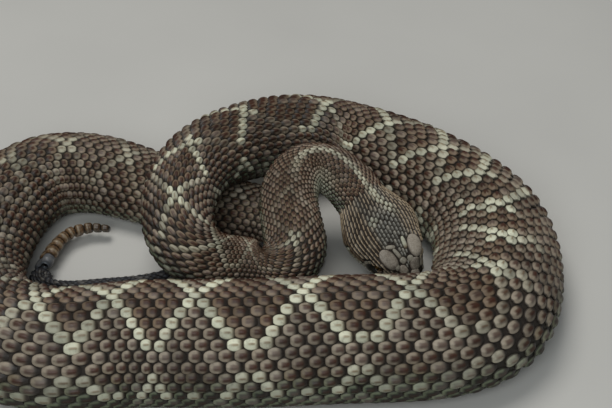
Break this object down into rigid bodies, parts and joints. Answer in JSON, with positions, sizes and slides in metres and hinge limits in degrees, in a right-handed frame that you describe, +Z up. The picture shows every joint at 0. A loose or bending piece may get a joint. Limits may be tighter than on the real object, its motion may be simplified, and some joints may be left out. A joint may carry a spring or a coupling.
{
  "type": "south american rattlesnake",
  "caption": "Life-size still model of an adult south american rattlesnake at rest: body coiled on the floor, neck in an S, head laid inside the coil, rattle curled behind.",
  "frame": {"origin": "centre of the bounding box in plan, on the floor that the belly rests on", "axes": "+X to the right along the front of the coil, +Y away from the picture's viewer, +Z up"},
  "size_m": [0.3406, 0.2287, 0.069],
  "materials": {
    "scaled_skin": "keeled scales, satin, dark brown with cream diamonds",
    "head_skin": "small satin scales, grey brown",
    "jaw_skin": "smooth pale scales",
    "tail_skin": "small satin scales, blue black",
    "eye": "clear gloss",
    "rattle_keratin": "dry horn, satin"
  },
  "bodies": {
    "root": {"head": "head_skin", "lower_jaw": "jaw_skin", "eye_left": "eye", "eye_right": "eye", "neck_front": "scaled_skin", "neck_back": "scaled_skin", "body_1": "scaled_skin", "body_2": "scaled_skin", "body_3": "scaled_skin", "body_4": "scaled_skin", "body_5": "scaled_skin", "body_6": "scaled_skin", "body_7": "scaled_skin", "body_8": "scaled_skin", "body_9": "scaled_skin", "body_10": "scaled_skin", "tail_root": "scaled_skin", "tail_bend": "tail_skin", "tail": "tail_skin", "rattle": "rattle_keratin"}
  },
  "joints": []
}
